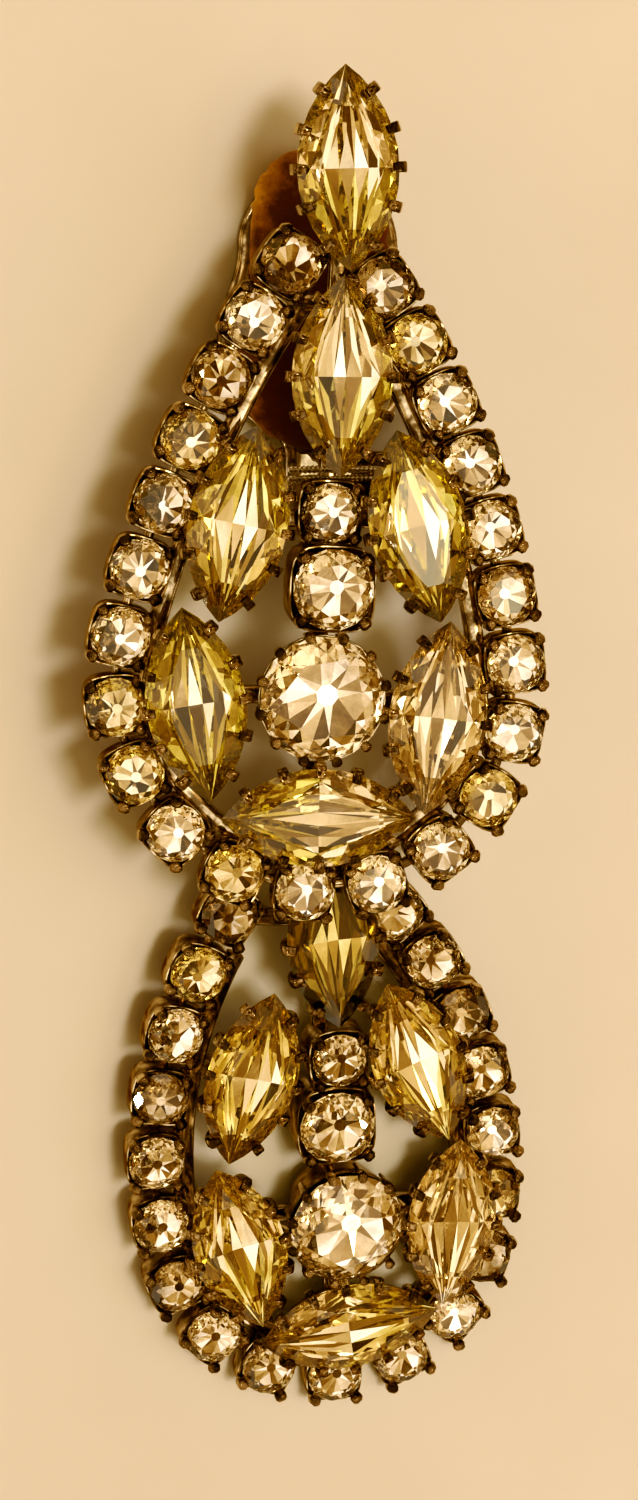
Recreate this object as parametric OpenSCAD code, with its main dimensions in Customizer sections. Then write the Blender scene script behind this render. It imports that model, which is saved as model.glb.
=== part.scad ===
// Clip-on drop earring: two openwork teardrops of rhinestones, lying face up.
// X runs across, +Y towards the top of the earring, +Z up. Z = 0 is the surface that it lies on.

/* [Stones] */
// length of a navette stone
navette_length = 9.8; // [9.6:0.1:9.9]
// width of a navette stone
navette_width = 5; // [4.8:0.1:5]
// diameter of a ring stone
ring_stone_d = 3.1; // [2.9:0.1:3.1]
// diameter of the small centre stone
small_d = 3; // [2.8:0.1:3]
// diameter of the medium centre stone
medium_d = 4.1; // [3.9:0.1:4.1]
// diameter of the large centre stone
large_d = 6.3; // [6:0.1:6.3]

/* [Settings] */
// height of the ring stones' girdles over the section's back
ring_girdle = 1.7; // [1.6:0.1:1.9]
// height of the navettes' girdles over the section's back
navette_girdle = 3.6; // [3.4:0.1:3.7]
// thickness of a cup's wall at its rim
cup_wall = 0.22; // [0.18:0.01:0.26]
// free space between a stone and its cup
seat_gap = 0.04; // [0.03:0.01:0.06]
// width of the strips on the back
strip_w = 0.9; // [0.8:0.05:1]

/* [Resting pose] */
// height of the upper section's back over the surface
upper_back_z = 8.8; // [8.8:0.1:9.5]
// turn of the upper section in its plane
upper_turn = -3; // [-5:0.5:-1]
// how far the top of the lower section is lifted
lower_pitch = 6.25; // [6:0.25:6.5]
// how far the left of the lower section is lifted
lower_roll = 4; // [3.5:0.5:4.5]
// turn of the lower section in its plane
lower_turn = 2.5; // [2:0.5:3]

/* [Clip] */
// thickness of the lever's plate
lever_t = 0.9; // [0.8:0.1:1.1]
// thickness of the comfort pad
pad_t = 3; // [2:0.1:3.2]
// height of the hinge pin over the surface
pin_z = 5.6; // [5.4:0.1:5.8]
// radius of the hinge pin
pin_r = 0.45; // [0.4:0.05:0.5]

/* [Hidden] */
$fn = 32;
upper_at = [0.19, 11.7, upper_back_z];
lower_at = [0.19, -19.8, 1.955];
clip_x = 1.04;
pin_y = 15.24;

// Places of the stones in a section's own plane. Each ring row is the arc on one side of the ring,
// walked up from the bottom stone.
ARC_LENGTH = 0;
ARC_TURN = 1;
// arc length, turn in degrees
upper_left_arcs = [[18.5, 98.8], [18.5, 18.6]];
upper_right_arcs = [[17.3, 101.2], [21.1, 29.1]];
lower_left_arcs = [[13, 74.9], [18.4, 40.4]];
lower_right_arcs = [[11.7, 81.4], [22.4, 53.5]];
// bottom stone x, y, lean of the chain there, first spacing, loss of spacing a stone, stones a side
RING_X = 0;
RING_Y = 1;
RING_LEAN = 2;
RING_PITCH = 3;
RING_TAPER = 4;
RING_SIDE = 5;
upper_ring = [-0.35, -16.7, -3.5, 3.745, 0.05, 11];
lower_ring = [0.96, -14.62, -4.1, 3.875, 0.041, 9];
// navette centre x, y, turn of its length from +Y
upper_navettes = [
    [-0.35, 19.3, 4.6],
    [-0.1, 9.35, 1.9],
    [-4.85, 2, -9.1],
    [4.1, 2.2, 16.2],
    [-6.5, -7, 10.9],
    [5.6, -7.3, -4.8],
    [-0.1, -12.5, 91.7]
];
lower_navettes = [
    [0.95, 11.7, 3],
    [-3.6, 4.4, -16.2],
    [5.45, 4.4, 19.4],
    [-4.5, -5.3, 13.4],
    [7.2, -5.15, -6.1],
    [1.4, -10.65, 96]
];
// centre stone x, y, diameter, girdle height, prongs
ROUND_D = 2;
ROUND_GIRDLE = 3;
ROUND_PRONGS = 4;
upper_rounds = [
    [-0.1, 2.6, small_d, 2.3, 4],
    [0.15, -1.15, medium_d, 2.8, 4],
    [-0.25, -6.5, large_d, navette_girdle, 12]
];
lower_rounds = [
    [1.45, 4.4, small_d, 2.3, 4],
    [1.15, 0.75, medium_d, 2.8, 4],
    [1.37, -4.75, large_d, navette_girdle, 12]
];
// strips along the back: x and y at one end, x and y at the other
upper_braces = [
    [-0.2, 20.5, -0.1, -15.4],
    [-3.4, 12.9, 2.8, 12.6],
    [-7.3, 2, 6.9, 2.3],
    [-8.6, -6.8, 8.5, -6.9]
];
lower_braces = [
    [0.42, 19.5, 1.2, -13.4],
    [-3.4, 12.4, 4.4, 11.6],
    [-6.2, 4.4, 7, 4.4],
    [-6.9, -5, 8.8, -5]
];

// Stone proportions, as shares of the half width
round_crown = 0.42;
round_table = 0.52;
round_depth = 0.8;
round_culet = 0.12;
round_space_in = 0.5;
round_space_slope = 0.9;
round_hole = 0.35;
round_hole_share = 0.25;
navette_crown_slope = 0.8;
navette_crown = 0.46;
navette_step = 0.25;
navette_table = 0.45;
navette_depth = 0.86;
navette_keel = 0.05;
arc_points = 8;

// Shape of a navette seen from above: the lens where two discs of radius lens_r overlap
half_w = navette_width / 2;
half_l = navette_length / 2;
lens_r = (half_l * half_l + half_w * half_w) / (2 * half_w);
lens_c = lens_r - half_w;

// Ring cups, heights over the section's back
cup_half = ring_stone_d / 2 + 0.15;
cup_round = 1.1;
cup_low = 0.13;
rim_drop = 0.08;
prong_r = 0.25;
prong_at = ring_stone_d / 2 + 0.17;
prong_over = 0.62;
prong_low = 0.3;

// Cups of the centre stones
round_base = 0.72;
round_prong_out = 0.12;
round_prong_h = 2;
round_prong_rise = 0.7;
large_prong_r = 0.28;

// Links between the ring cups, and the strips along the back
link_w = 0.5;
link_t = 0.45;
link_low = 0.2;
link_bite = 0.5;
strip_inset = 1.75;
strip_h = 0.8;
strip_pieces = 26;
brace_low = 0.07;

// Cup of a navette and the tabs along it
keel_low = 0.3;
keel_base_inset = 1.55;
keel_z = 2.2;
keel_inset = 1.3;
tab_w = 0.62;
tab_in = 0.3;
tab_out = 0.34;
tab_over = 0.5;
tab_low = 2.45;
tabs_side = 5;
tab_pitch = 1.85;

// Point and heading after a length s along an arc of length l and turn t, begun at p with heading h
function arc_r(row) = row[ARC_LENGTH] / (row[ARC_TURN] * PI / 180);
function along(p, h, row, s) =
    let (r = arc_r(row), a = h + s / r * 180 / PI)
    [p.x + r * (sin(a) - sin(h)), p.y + r * (cos(h) - cos(a)), a];

// Place on one side of a ring at length s from the bottom stone, as x, y and heading
function side_point(arcs, lean, s) =
    s <= arcs[0][ARC_LENGTH]
        ? along([0, 0], lean, arcs[0], s)
        : let (q = along([0, 0], lean, arcs[0], arcs[0][ARC_LENGTH]))
            along(q, q[2], arcs[1], s - arcs[0][ARC_LENGTH]);

function run(ring, k) = ring[RING_PITCH] * k - ring[RING_TAPER] * k * (k - 1) / 2;

// Stone k of a ring, negative on the left, as x, y and heading
function ring_place(ring, left, right, k) =
    let (
        side = k < 0 ? -1 : 1,
        q = side_point(k < 0 ? left : right, side * ring[RING_LEAN], run(ring, abs(k)))
    )
    [ring[RING_X] + side * q.x, ring[RING_Y] + q.y, side * q[2]];

module place_upper() {
    translate(upper_at)
        rotate([0, 0, upper_turn])
            children();
}

module place_lower() {
    translate(lower_at)
        rotate([0, 0, lower_turn])
            rotate([0, lower_roll, 0])
                rotate([lower_pitch, 0, 0])
                    children();
}

module on_ring(ring, left, right) {
    for (k = [-ring[RING_SIDE] : ring[RING_SIDE]]) {
        q = ring_place(ring, left, right, k);
        translate([q.x, q.y, 0])
            rotate([0, 0, q[2]])
                children();
    }
}

module at_row(row) {
    translate([row.x, row.y, 0])
        children();
}

module at_navette(row) {
    at_row(row)
        rotate([0, 0, row[2]])
            children();
}

// Round stone with eight sides, its girdle at z = 0
module round_stone(d) {
    r = d / 2;
    rotate([0, 0, 22.5])
        rotate_extrude($fn = 8)
            polygon([
                [0, -r * round_depth],
                [r * round_culet, -r * round_depth],
                [r, 0],
                [r * round_table, r * round_crown],
                [0, r * round_crown]
            ]);
}

function lens_point(r, t, side, z) = [side * (r * cos(t) - lens_c), r * sin(t), z];

// One closed outline of a navette, inset from the girdle
function lens_ring(inset, z) =
    let (r = lens_r - inset, a = acos(lens_c / r))
    concat(
        [for (i = [0 : arc_points]) lens_point(r, a * (2 * i / arc_points - 1), 1, z)],
        [for (i = [1 : arc_points - 1]) lens_point(r, a * (1 - 2 * i / arc_points), -1, z)]
    );

// Navette stone, its girdle at z = 0 and its length along Y
module navette_stone() {
    levels = [
        lens_ring(half_w * (1 - navette_keel), -half_w * navette_depth),
        lens_ring(0, 0),
        lens_ring(half_w * navette_step, half_w * navette_step / navette_crown_slope),
        lens_ring(half_w * (1 - navette_table), half_w * navette_crown)
    ];
    n = 2 * arc_points;
    top = len(levels) - 1;
    sides = [
        for (j = [0 : top - 1], i = [0 : n - 1])
            let (a = j * n + i, b = j * n + (i + 1) % n)
            each [[a, a + n, b + n], [a, b + n, b]]
    ];
    base = [for (i = [0 : n - 1]) i];
    table = [for (i = [n - 1 : -1 : 0]) top * n + i];
    polyhedron(points = [for (ring = levels) each ring], faces = concat(sides, [base], [table]));
}

// Space that a round stone needs, with its gap, and a hole through the bottom of the cup
module round_space(d, girdle) {
    r = d / 2 + seat_gap;
    crown_r = r * (1 - round_space_in);
    crown_h = r * round_space_in * round_space_slope;
    hole_r = r * round_hole;
    hole_top = -r * round_depth * (1 - round_hole_share);
    translate([0, 0, girdle])
        rotate_extrude()
            polygon([
                [0, -girdle - 1],
                [hole_r, -girdle - 1],
                [hole_r, hole_top],
                [r, 0],
                [crown_r, crown_h],
                [crown_r, r + 1],
                [0, r + 1]
            ]);
}

// Lens-shaped solid whose profile is a list of [inset from the girdle's outline, z], from the bottom up
module lens_solid(profile) {
    intersection() {
        translate([-lens_c, 0, 0])
            lens_disc(profile);
        translate([lens_c, 0, 0])
            lens_disc(profile);
    }
}

module lens_disc(profile) {
    low = profile[0][1];
    high = profile[len(profile) - 1][1];
    rotate_extrude($fn = 96)
        polygon(concat([[0, low]], [for (q = profile) [lens_r - q[0], q[1]]], [[0, high]]));
}

module navette_space() {
    deep = half_w * navette_depth + seat_gap;
    high = 2;
    translate([0, 0, navette_girdle])
        lens_solid([
            [half_w * (1 - navette_keel) - seat_gap, -deep],
            [-seat_gap, 0],
            [high * navette_crown_slope - seat_gap, high]
        ]);
}

// Prong with a rounded head, standing on z = 0
module prong(height, r) {
    rotate_extrude($fn = 16)
        polygon([[0, 0], [r, 0], [r, height - 0.7 * r], [0.6 * r, height], [0, height]]);
}

module ring_cup() {
    difference() {
        union() {
            translate([0, 0, cup_low])
                linear_extrude(ring_girdle - rim_drop - cup_low)
                    intersection() {
                        circle(cup_half * cup_round);
                        square(2 * cup_half, center = true);
                    }
            for (a = [45 : 90 : 315])
                rotate([0, 0, a])
                    translate([prong_at, 0, prong_low])
                        prong(ring_girdle + prong_over - prong_low, prong_r);
        }
        round_space(ring_stone_d, ring_girdle);
    }
}

module round_cup(row) {
    r = row[ROUND_D] / 2;
    rim = row[ROUND_GIRDLE] - rim_drop;
    head_r = row[ROUND_PRONGS] > 4 ? large_prong_r : prong_r;
    difference() {
        union() {
            translate([0, 0, cup_low])
                cylinder(h = rim - cup_low, r1 = r * round_base, r2 = r + cup_wall);
            for (i = [0 : row[ROUND_PRONGS] - 1])
                rotate([0, 0, 45 + i * 360 / row[ROUND_PRONGS]])
                    translate([r + round_prong_out, 0, rim + round_prong_rise - round_prong_h])
                        prong(round_prong_h, head_r);
        }
        round_space(row[ROUND_D], row[ROUND_GIRDLE]);
    }
}

module navette_cup() {
    rim = navette_girdle - rim_drop;
    difference() {
        union() {
            lens_solid([[keel_base_inset, keel_low], [keel_inset, keel_z], [-cup_wall, rim]]);
            for (side = [0, 180], i = [0 : tabs_side - 1])
                navette_tab(side, (i - (tabs_side - 1) / 2) * tab_pitch);
        }
        navette_space();
    }
}

module navette_tab(side, y) {
    rotate([0, 0, side])
        translate([-lens_c, 0, 0])
            rotate([0, 0, asin(y / lens_r)])
                translate([lens_r - tab_in, -tab_w / 2, tab_low])
                    cube([tab_in + tab_out, tab_w, navette_girdle + tab_over - tab_low]);
}

// Bar from one cup to the next, for stone k and stone k + 1
module link(ring, left, right, k) {
    a = ring_place(ring, left, right, k);
    b = ring_place(ring, left, right, k + 1);
    d = [b.x - a.x, b.y - a.y];
    translate([(a.x + b.x) / 2, (a.y + b.y) / 2, link_low + link_t / 2])
        rotate([0, 0, atan2(d.y, d.x)])
            cube([norm(d) - 2 * cup_half + link_bite, link_w, link_t], center = true);
}

// Point at length s along a ring, negative on the left, moved inwards from the stones' centres
function path_point(ring, left, right, s, inset) =
    let (
        side = s < 0 ? -1 : 1,
        q = side_point(s < 0 ? left : right, side * ring[RING_LEAN], abs(s))
    )
    [
        ring[RING_X] + side * (q.x - inset * sin(q[2])),
        ring[RING_Y] + q.y + inset * cos(q[2])
    ];

function arcs_length(arcs) = arcs[0][ARC_LENGTH] + arcs[1][ARC_LENGTH];

// Strip inside the ring, from the top of its left side round the bottom to the top of its right side
module ring_strip(ring, left, right) {
    stops = concat(
        [for (i = [strip_pieces : -1 : 1]) -arcs_length(left) * i / strip_pieces],
        [for (i = [0 : strip_pieces]) arcs_length(right) * i / strip_pieces]
    );
    outer = [for (s = stops) path_point(ring, left, right, s, strip_inset - strip_w / 2)];
    inner = [for (s = stops) path_point(ring, left, right, s, strip_inset + strip_w / 2)];
    last = len(stops) - 1;
    linear_extrude(strip_h)
        polygon(concat(outer, [for (i = [last : -1 : 0]) inner[i]]));
}

module brace(row) {
    a = [row[0], row[1]];
    b = [row[2], row[3]];
    d = b - a;
    translate([a.x, a.y, brace_low])
        rotate([0, 0, atan2(d.y, d.x)])
            translate([0, -strip_w / 2, 0])
                cube([norm(d), strip_w, strip_h - 2 * brace_low]);
}

module ring_metal(ring, left, right) {
    on_ring(ring, left, right)
        ring_cup();
    for (k = [-ring[RING_SIDE] : ring[RING_SIDE] - 1])
        link(ring, left, right, k);
}

module stone_cups(navettes, rounds) {
    for (row = navettes)
        at_navette(row)
            navette_cup();
    for (row = rounds)
        at_row(row)
            round_cup(row);
}

module back_strips(ring, left, right, braces) {
    ring_strip(ring, left, right);
    for (row = braces)
        brace(row);
}

module section_metal(ring, left, right, navettes, rounds, braces) {
    color("goldenrod") {
        union()
            ring_metal(ring, left, right);
        union()
            stone_cups(navettes, rounds);
        union()
            back_strips(ring, left, right, braces);
    }
}

module upper_metal() {
    section_metal(upper_ring, upper_left_arcs, upper_right_arcs, upper_navettes, upper_rounds, upper_braces);
}

module lower_metal() {
    section_metal(lower_ring, lower_left_arcs, lower_right_arcs, lower_navettes, lower_rounds, lower_braces);
}

// The jump ring that the lower section hangs by, and the eyes that it runs through
hang_x = -0.11;
hang_y = -0.51;
eye_r = 0.8;
eye_wire = 0.28;
jump_wire = 0.28;
upper_eye_z = upper_back_z - 0.6;
lower_eye_z = 5.35;
jump_r = (upper_eye_z - lower_eye_z) / 2;

module wire_ring(r, wire) {
    rotate_extrude()
        translate([r, 0])
            circle(wire, $fn = 16);
}

module hang_eye(z) {
    translate([hang_x, hang_y, z])
        rotate([90, 0, 0])
            wire_ring(eye_r, eye_wire);
}

// Bracket on the upper section's back with two ears for the hinge pin
ear_gap = 2.9;
ear_t = 0.7;
ear_r = 1.15;
ear_play = 0.02;
bracket_t = 0.7;
bracket_l = 3.8;
bracket_bite = 0.5;
pin_out = 0.3;

module ear_shape() {
    circle(ear_r);
    translate([-ear_r, 0])
        square([2 * ear_r, upper_back_z - pin_z]);
}

module bracket() {
    for (x = [-ear_gap / 2 - ear_t, ear_gap / 2])
        translate([clip_x + x, pin_y, pin_z])
            rotate([90, 0, 90])
                linear_extrude(ear_t)
                    difference() {
                        ear_shape();
                        circle(pin_r + ear_play);
                    }
    translate([clip_x - ear_gap / 2 - ear_t, pin_y - bracket_l / 2, upper_back_z - bracket_t])
        cube([ear_gap + 2 * ear_t, bracket_l, bracket_t + bracket_bite]);
}

module upper_frame() {
    place_upper()
        upper_metal();
    color("goldenrod") {
        bracket();
        hang_eye(upper_eye_z);
    }
}

module lower_frame() {
    place_lower()
        lower_metal();
    color("goldenrod")
        hang_eye(lower_eye_z);
}

module jump_ring() {
    color("gold")
        translate([hang_x, hang_y, (upper_eye_z + lower_eye_z) / 2])
            rotate([0, 90, 0])
                wire_ring(jump_r, jump_wire);
}

module upper_ring_stones() {
    color("linen")
        place_upper()
            on_ring(upper_ring, upper_left_arcs, upper_right_arcs)
                translate([0, 0, ring_girdle])
                    round_stone(ring_stone_d);
}

module lower_ring_stones() {
    color("linen")
        place_lower()
            on_ring(lower_ring, lower_left_arcs, lower_right_arcs)
                translate([0, 0, ring_girdle])
                    round_stone(ring_stone_d);
}

module navette(row) {
    color("khaki")
        at_navette(row)
            translate([0, 0, navette_girdle])
                navette_stone();
}

module centre_stone(row) {
    color("linen")
        at_row(row)
            translate([0, 0, row[ROUND_GIRDLE]])
                round_stone(row[ROUND_D]);
}

module hinge_pin() {
    color("silver")
        translate([clip_x - ear_gap / 2 - ear_t - pin_out, pin_y, pin_z])
            rotate([0, 90, 0])
                cylinder(h = ear_gap + 2 * (ear_t + pin_out), r = pin_r);
}

// Lever: two round lobes and a tail on the surface, and a neck that climbs to the pin
top_lobe_y = 27.2;
top_lobe_r = 4.2;
low_lobe_y = 22.2;
low_lobe_r = 5.35;
tail_w = 3.6;
neck_w = 2.5;
neck_t = 0.8;
neck_foot = 1.4;
neck_fillet = 0.3;
knuckle_r = 1.1;
pin_play = 0.05;
tail_y = pin_y + neck_t;

module lever_outline() {
    translate([0, top_lobe_y])
        circle(top_lobe_r, $fn = 72);
    translate([0, low_lobe_y])
        circle(low_lobe_r, $fn = 72);
    translate([-tail_w / 2, tail_y])
        square([tail_w, low_lobe_y - tail_y]);
}

module neck_shape() {
    polygon([
        [pin_y - knuckle_r, pin_z],
        [pin_y - knuckle_r, neck_foot],
        [pin_y - knuckle_r + neck_foot, 0],
        [tail_y + 1, 0],
        [tail_y + 1, lever_t],
        [tail_y + neck_fillet, lever_t],
        [tail_y, lever_t + neck_fillet],
        [tail_y, pin_z]
    ]);
}

module clip_lever() {
    color("darkgoldenrod")
        translate([clip_x, 0, 0])
            difference() {
                union() {
                    linear_extrude(lever_t)
                        lever_outline();
                    translate([-neck_w / 2, 0, 0])
                        rotate([90, 0, 90])
                            linear_extrude(neck_w)
                                neck_shape();
                    translate([-neck_w / 2, pin_y, pin_z])
                        rotate([0, 90, 0])
                            cylinder(h = neck_w, r = knuckle_r);
                }
                translate([-neck_w, pin_y, pin_z])
                    rotate([0, 90, 0])
                        cylinder(h = 2 * neck_w, r = pin_r + pin_play);
            }
}

// Pad on the lever's inner face, a little gap above the plate and glued a little to the left
pad_gap = 0.04;
pad_shift = -0.4;
// y and radius of the pad's three lobes, top first
pad_lobes = [[28.5, 4.02], [25.4, 3.72], [21.15, 4.57]];

module pad_outline() {
    for (lobe = pad_lobes)
        translate([0, lobe[0]])
            circle(lobe[1], $fn = 48);
}

module clip_pad() {
    color("saddlebrown")
        translate([clip_x + pad_shift, 0, lever_t + pad_gap])
            linear_extrude(pad_t)
                pad_outline();
}

UPPER_NAMES = ["top", "middle", "high_left", "high_right", "low_left", "low_right", "bottom"];
LOWER_NAMES = ["top", "high_left", "high_right", "low_left", "low_right", "bottom"];
ROUND_NAMES = ["small", "medium", "large"];

upper_frame();
lower_frame();
jump_ring();
upper_ring_stones();
lower_ring_stones();
for (i = [0 : len(UPPER_NAMES) - 1])
    place_upper()
            navette(upper_navettes[i]);
for (i = [0 : len(LOWER_NAMES) - 1])
    place_lower()
            navette(lower_navettes[i]);
for (i = [0 : len(ROUND_NAMES) - 1])
    place_upper()
            centre_stone(upper_rounds[i]);
for (i = [0 : len(ROUND_NAMES) - 1])
    place_lower()
            centre_stone(lower_rounds[i]);
clip_lever();
clip_pad();
hinge_pin();
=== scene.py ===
import math
import bpy
import numpy as np
from mathutils import Matrix, Vector


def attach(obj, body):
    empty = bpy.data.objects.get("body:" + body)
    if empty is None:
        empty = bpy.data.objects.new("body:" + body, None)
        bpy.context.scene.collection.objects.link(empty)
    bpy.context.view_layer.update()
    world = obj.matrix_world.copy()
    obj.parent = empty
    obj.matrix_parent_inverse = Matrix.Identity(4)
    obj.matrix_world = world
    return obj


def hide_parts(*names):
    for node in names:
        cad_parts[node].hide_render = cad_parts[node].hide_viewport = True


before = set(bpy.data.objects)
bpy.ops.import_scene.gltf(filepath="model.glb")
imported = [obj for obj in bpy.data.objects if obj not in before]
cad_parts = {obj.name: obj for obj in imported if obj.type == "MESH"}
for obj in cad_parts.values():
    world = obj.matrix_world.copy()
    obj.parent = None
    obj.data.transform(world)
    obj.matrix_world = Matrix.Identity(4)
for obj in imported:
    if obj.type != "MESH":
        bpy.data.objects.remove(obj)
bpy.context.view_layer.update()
mm = 0.001  # every size below is in millimetres
print("frame loaded")

# The two teardrops, each in its own plane. A side of the ring follows two arcs of (length, degrees). Each
# navette has its x, y and turn, then its foils: towards its head, which the turn is measured from, the
# other way, and under the bow across its middle. These foils are painted light and shade: lit and shaded
# tones of one yellow, given to each part by how light falls on it, with glint a painted highlight under the
# bow and umber a painted shade. The stones that sit askew, by degrees about x and y, do so enough for their
# tables to catch a window, or to miss the brighter side of the room.
upperSection = {
    "name": "upper",
    "at": (0.19, 11.7, 8.8),
    "turn": (0, 0, -3),  # degrees about x, y and z
    "ring": {"x": -0.35, "y": -16.7, "lean": -3.5, "pitch": 3.745, "taper": 0.05, "side": 11},
    "leftArcs": ((18.5, 98.8), (18.5, 18.6)),
    "rightArcs": ((17.3, 101.2), (21.1, 29.1)),
    "navettes": {
        "top": (-0.35, 19.3, 4.6, "beige", "lemon", "silver"),
        "middle": (-0.1, 9.35, 1.9, "beige", "lemon", "silver"),
        "high_left": (-4.85, 2, -9.1, "lemon", "amber", "silver"),
        "high_right": (4.1, 2.2, 16.2, "lemon", "lemon", "silver"),
        "low_left": (-6.5, -7, 10.9, "lemon", "lemon", "silver"),
        "low_right": (5.6, -7.3, -4.8, "beige", "beige", "silver"),
        "bottom": (-0.1, -12.5, 91.7, "lemon", "beige", "silver"),
    },
    "rounds": {  # x, y, diameter, girdle height, claws
        "small": (-0.1, 2.6, 3, 2.3, 4),
        "medium": (0.15, -1.15, 4.1, 2.8, 4),
        "large": (-0.25, -6.5, 6.3, 3.6, 12),
    },
    "braces": (  # x and y of both ends
        (-0.2, 20.5, -0.1, -15.4), (-3.4, 12.9, 2.8, 12.6), (-7.3, 2, 6.9, 2.3), (-8.6, -6.8, 8.5, -6.9),
    ),
    "askew": {"high_right": (-1, 3.7), "high_left": (-2.5, 0.5)},
    "eyeZ": 8.2,
    "seed": 7,
}
lowerSection = {
    "name": "lower",
    "at": (0.19, -19.8, 1.955),
    "turn": (6.25, 4, 2.5),
    "ring": {"x": 0.96, "y": -14.62, "lean": -4.1, "pitch": 3.875, "taper": 0.041, "side": 9},
    "leftArcs": ((13, 74.9), (18.4, 40.4)),
    "rightArcs": ((11.7, 81.4), (22.4, 53.5)),
    "navettes": {
        # Painted shade: this stone's foils are dark umber where the upper section shades it
        "top": (0.95, 11.7, 3, "umber", "umber", "amber"),
        "high_left": (-3.6, 4.4, -16.2, "amber", "amber", "silver"),
        "high_right": (5.45, 4.4, 19.4, "beige", "amber", "silver"),
        "low_left": (-4.5, -5.3, 13.4, "beige", "amber", "silver"),
        "low_right": (7.2, -5.15, -6.1, "beige", "beige", "silver"),
        "bottom": (1.4, -10.65, 96, "beige", "amber", "silver"),
    },
    "rounds": {
        "small": (1.45, 4.4, 3, 2.3, 4),
        "medium": (1.15, 0.75, 4.1, 2.8, 4),
        "large": (1.37, -4.75, 6.3, 3.6, 12),
    },
    "braces": (
        (0.42, 19.5, 1.2, -13.4), (-3.4, 12.4, 4.4, 11.6), (-6.2, 4.4, 7, 4.4), (-6.9, -5, 8.8, -5),
    ),
    "askew": {"large": (3.5, 2.5), "top": (0.5, 2.5), "high_left": (0.5, 2.5)},
    "eyeZ": 5.35,
    "seed": 11,
}

cameraSettings = {
    "target": (0.19, 1.7, 7), "distance": 150, "left": 8, "top": 10, "lens": 69.84, "sensor": 36,
}


# Object in the scene for a lens, a mesh or a light
def addObject(name, data):
    made = bpy.data.objects.new(name, data)
    bpy.context.scene.collection.objects.link(made)
    return made


# Camera over the piece, leaning from straight down by two angles, with the picture's up kept along +Y
def makeCamera():
    s = cameraSettings
    left, top = math.radians(s["left"]), math.radians(s["top"])
    back = Vector((-math.sin(left) * math.cos(top), math.sin(top), math.cos(left) * math.cos(top)))
    right = Vector((0, 1, 0)).cross(back).normalized()
    up = back.cross(right)
    lens = bpy.data.cameras.new("camera")
    lens.sensor_width, lens.lens = s["sensor"], s["lens"]
    lens.clip_start, lens.clip_end = 10 * mm, 20000 * mm
    camera = addObject("camera", lens)
    place = (Vector(s["target"]) + back * s["distance"]) * mm
    camera.matrix_world = Matrix.Translation(place) @ Matrix((right, up, back)).transposed().to_4x4()
    bpy.context.scene.camera = camera


makeCamera()
print("camera placed")


# Arrays as the columns of one
def beside(*columns):
    return np.stack(columns, -1)


# Points of a flat outline at a height
def level(flat, z):
    return np.column_stack([flat, np.broadcast_to(z, (len(flat),))])


# Angles of equal steps round a circle
def around(count):
    return np.arange(count) * 2 * np.pi / count


# Several patches as one. A patch is a pair: points, and a list of (rows of point numbers, material number)
def joined(patches):
    points, faces, start = [], [], 0
    for own, groups in patches:
        points.append(own)
        faces += [(rows + start, number) for rows, number in groups]
        start += len(own)
    return np.vstack(points), faces


# One patch at many places: every point times each turn, plus its shift or the only one
def copies(patch, turns, shifts=np.zeros((1, 3))):
    points, groups = patch
    spread = np.einsum("kij,nj->kni", turns, points) + shifts[:, None]
    starts = np.arange(len(turns))[:, None, None] * len(points)
    faces = [((rows[None] + starts).reshape(-1, rows.shape[1]), number) for rows, number in groups]
    return spread.reshape(-1, 3), faces


def moved(patch, turn, shift):
    return patch[0] @ np.asarray(turn).T + np.asarray(shift, float), patch[1]


# Stack of rotation matrices for angles in radians, about z or another axis by its number
def turnsAbout(angles, axis=2):
    a = np.atleast_1d(np.asarray(angles, float))
    turns = np.zeros((len(a), 3, 3))
    p, q = (axis + 1) % 3, (axis + 2) % 3
    turns[:, p, p] = turns[:, q, q] = np.cos(a)
    turns[:, q, p] = np.sin(a)
    turns[:, p, q] = -np.sin(a)
    turns[:, axis, axis] = 1
    return turns


def sectionTurn(section):
    x, y, z = (Matrix.Rotation(math.radians(a), 3, axis) for a, axis in zip(section["turn"], "XYZ"))
    return np.array(z @ y @ x)


# Skin over a stack of closed loops, each anticlockwise seen from the last, with a flat cap on each end
def loft(loops, number=0, ring=False):
    rows, cols = loops.shape[:2]
    r, c = np.meshgrid(np.arange(rows if ring else rows - 1), np.arange(cols), indexing="ij")
    up, on = (r + 1) % rows, (c + 1) % cols
    quads = beside(r * cols + c, r * cols + on, up * cols + on, up * cols + c).reshape(-1, 4)
    faces = [(quads, number)]
    if not ring:
        faces.append((np.arange(cols)[None, ::-1].copy(), number))
        faces.append((np.arange(cols)[None] + (rows - 1) * cols, number))
    return loops.reshape(-1, 3), faces


# Superellipse section: cosine and sine raised to 2 / power keep their sign, and power 2 is round
def section2d(sides, power):
    a = (np.arange(sides) + 0.5) * 2 * np.pi / sides
    c, s = np.cos(a), np.sin(a)
    return beside(np.sign(c) * np.abs(c) ** (2 / power), np.sign(s) * np.abs(s) ** (2 / power))


# Section carried along a path: at each point it spreads by wide along the side vector and by thick at
# right angles to that and to the path
def swept(path, side, wide, thick, sides=8, power=3, ring=False, number=0):
    path = np.asarray(path, float)
    if ring:
        along = np.roll(path, -1, 0) - np.roll(path, 1, 0)
    else:
        along = np.gradient(path, axis=0)
    along = along / np.linalg.norm(along, axis=1)[:, None]
    side = np.broadcast_to(np.asarray(side, float), path.shape)
    side = side - (side * along).sum(1)[:, None] * along
    side = side / np.linalg.norm(side, axis=1)[:, None]
    up = np.cross(along, side)
    shape = section2d(sides, power)
    wide, thick = (np.broadcast_to(half, (len(path),))[:, None] for half in (wide, thick))
    loops = (
        path[:, None]
        + side[:, None] * (wide * shape[:, 0])[..., None]
        + up[:, None] * (thick * shape[:, 1])[..., None]
    )
    return loft(loops, number, ring)


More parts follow.
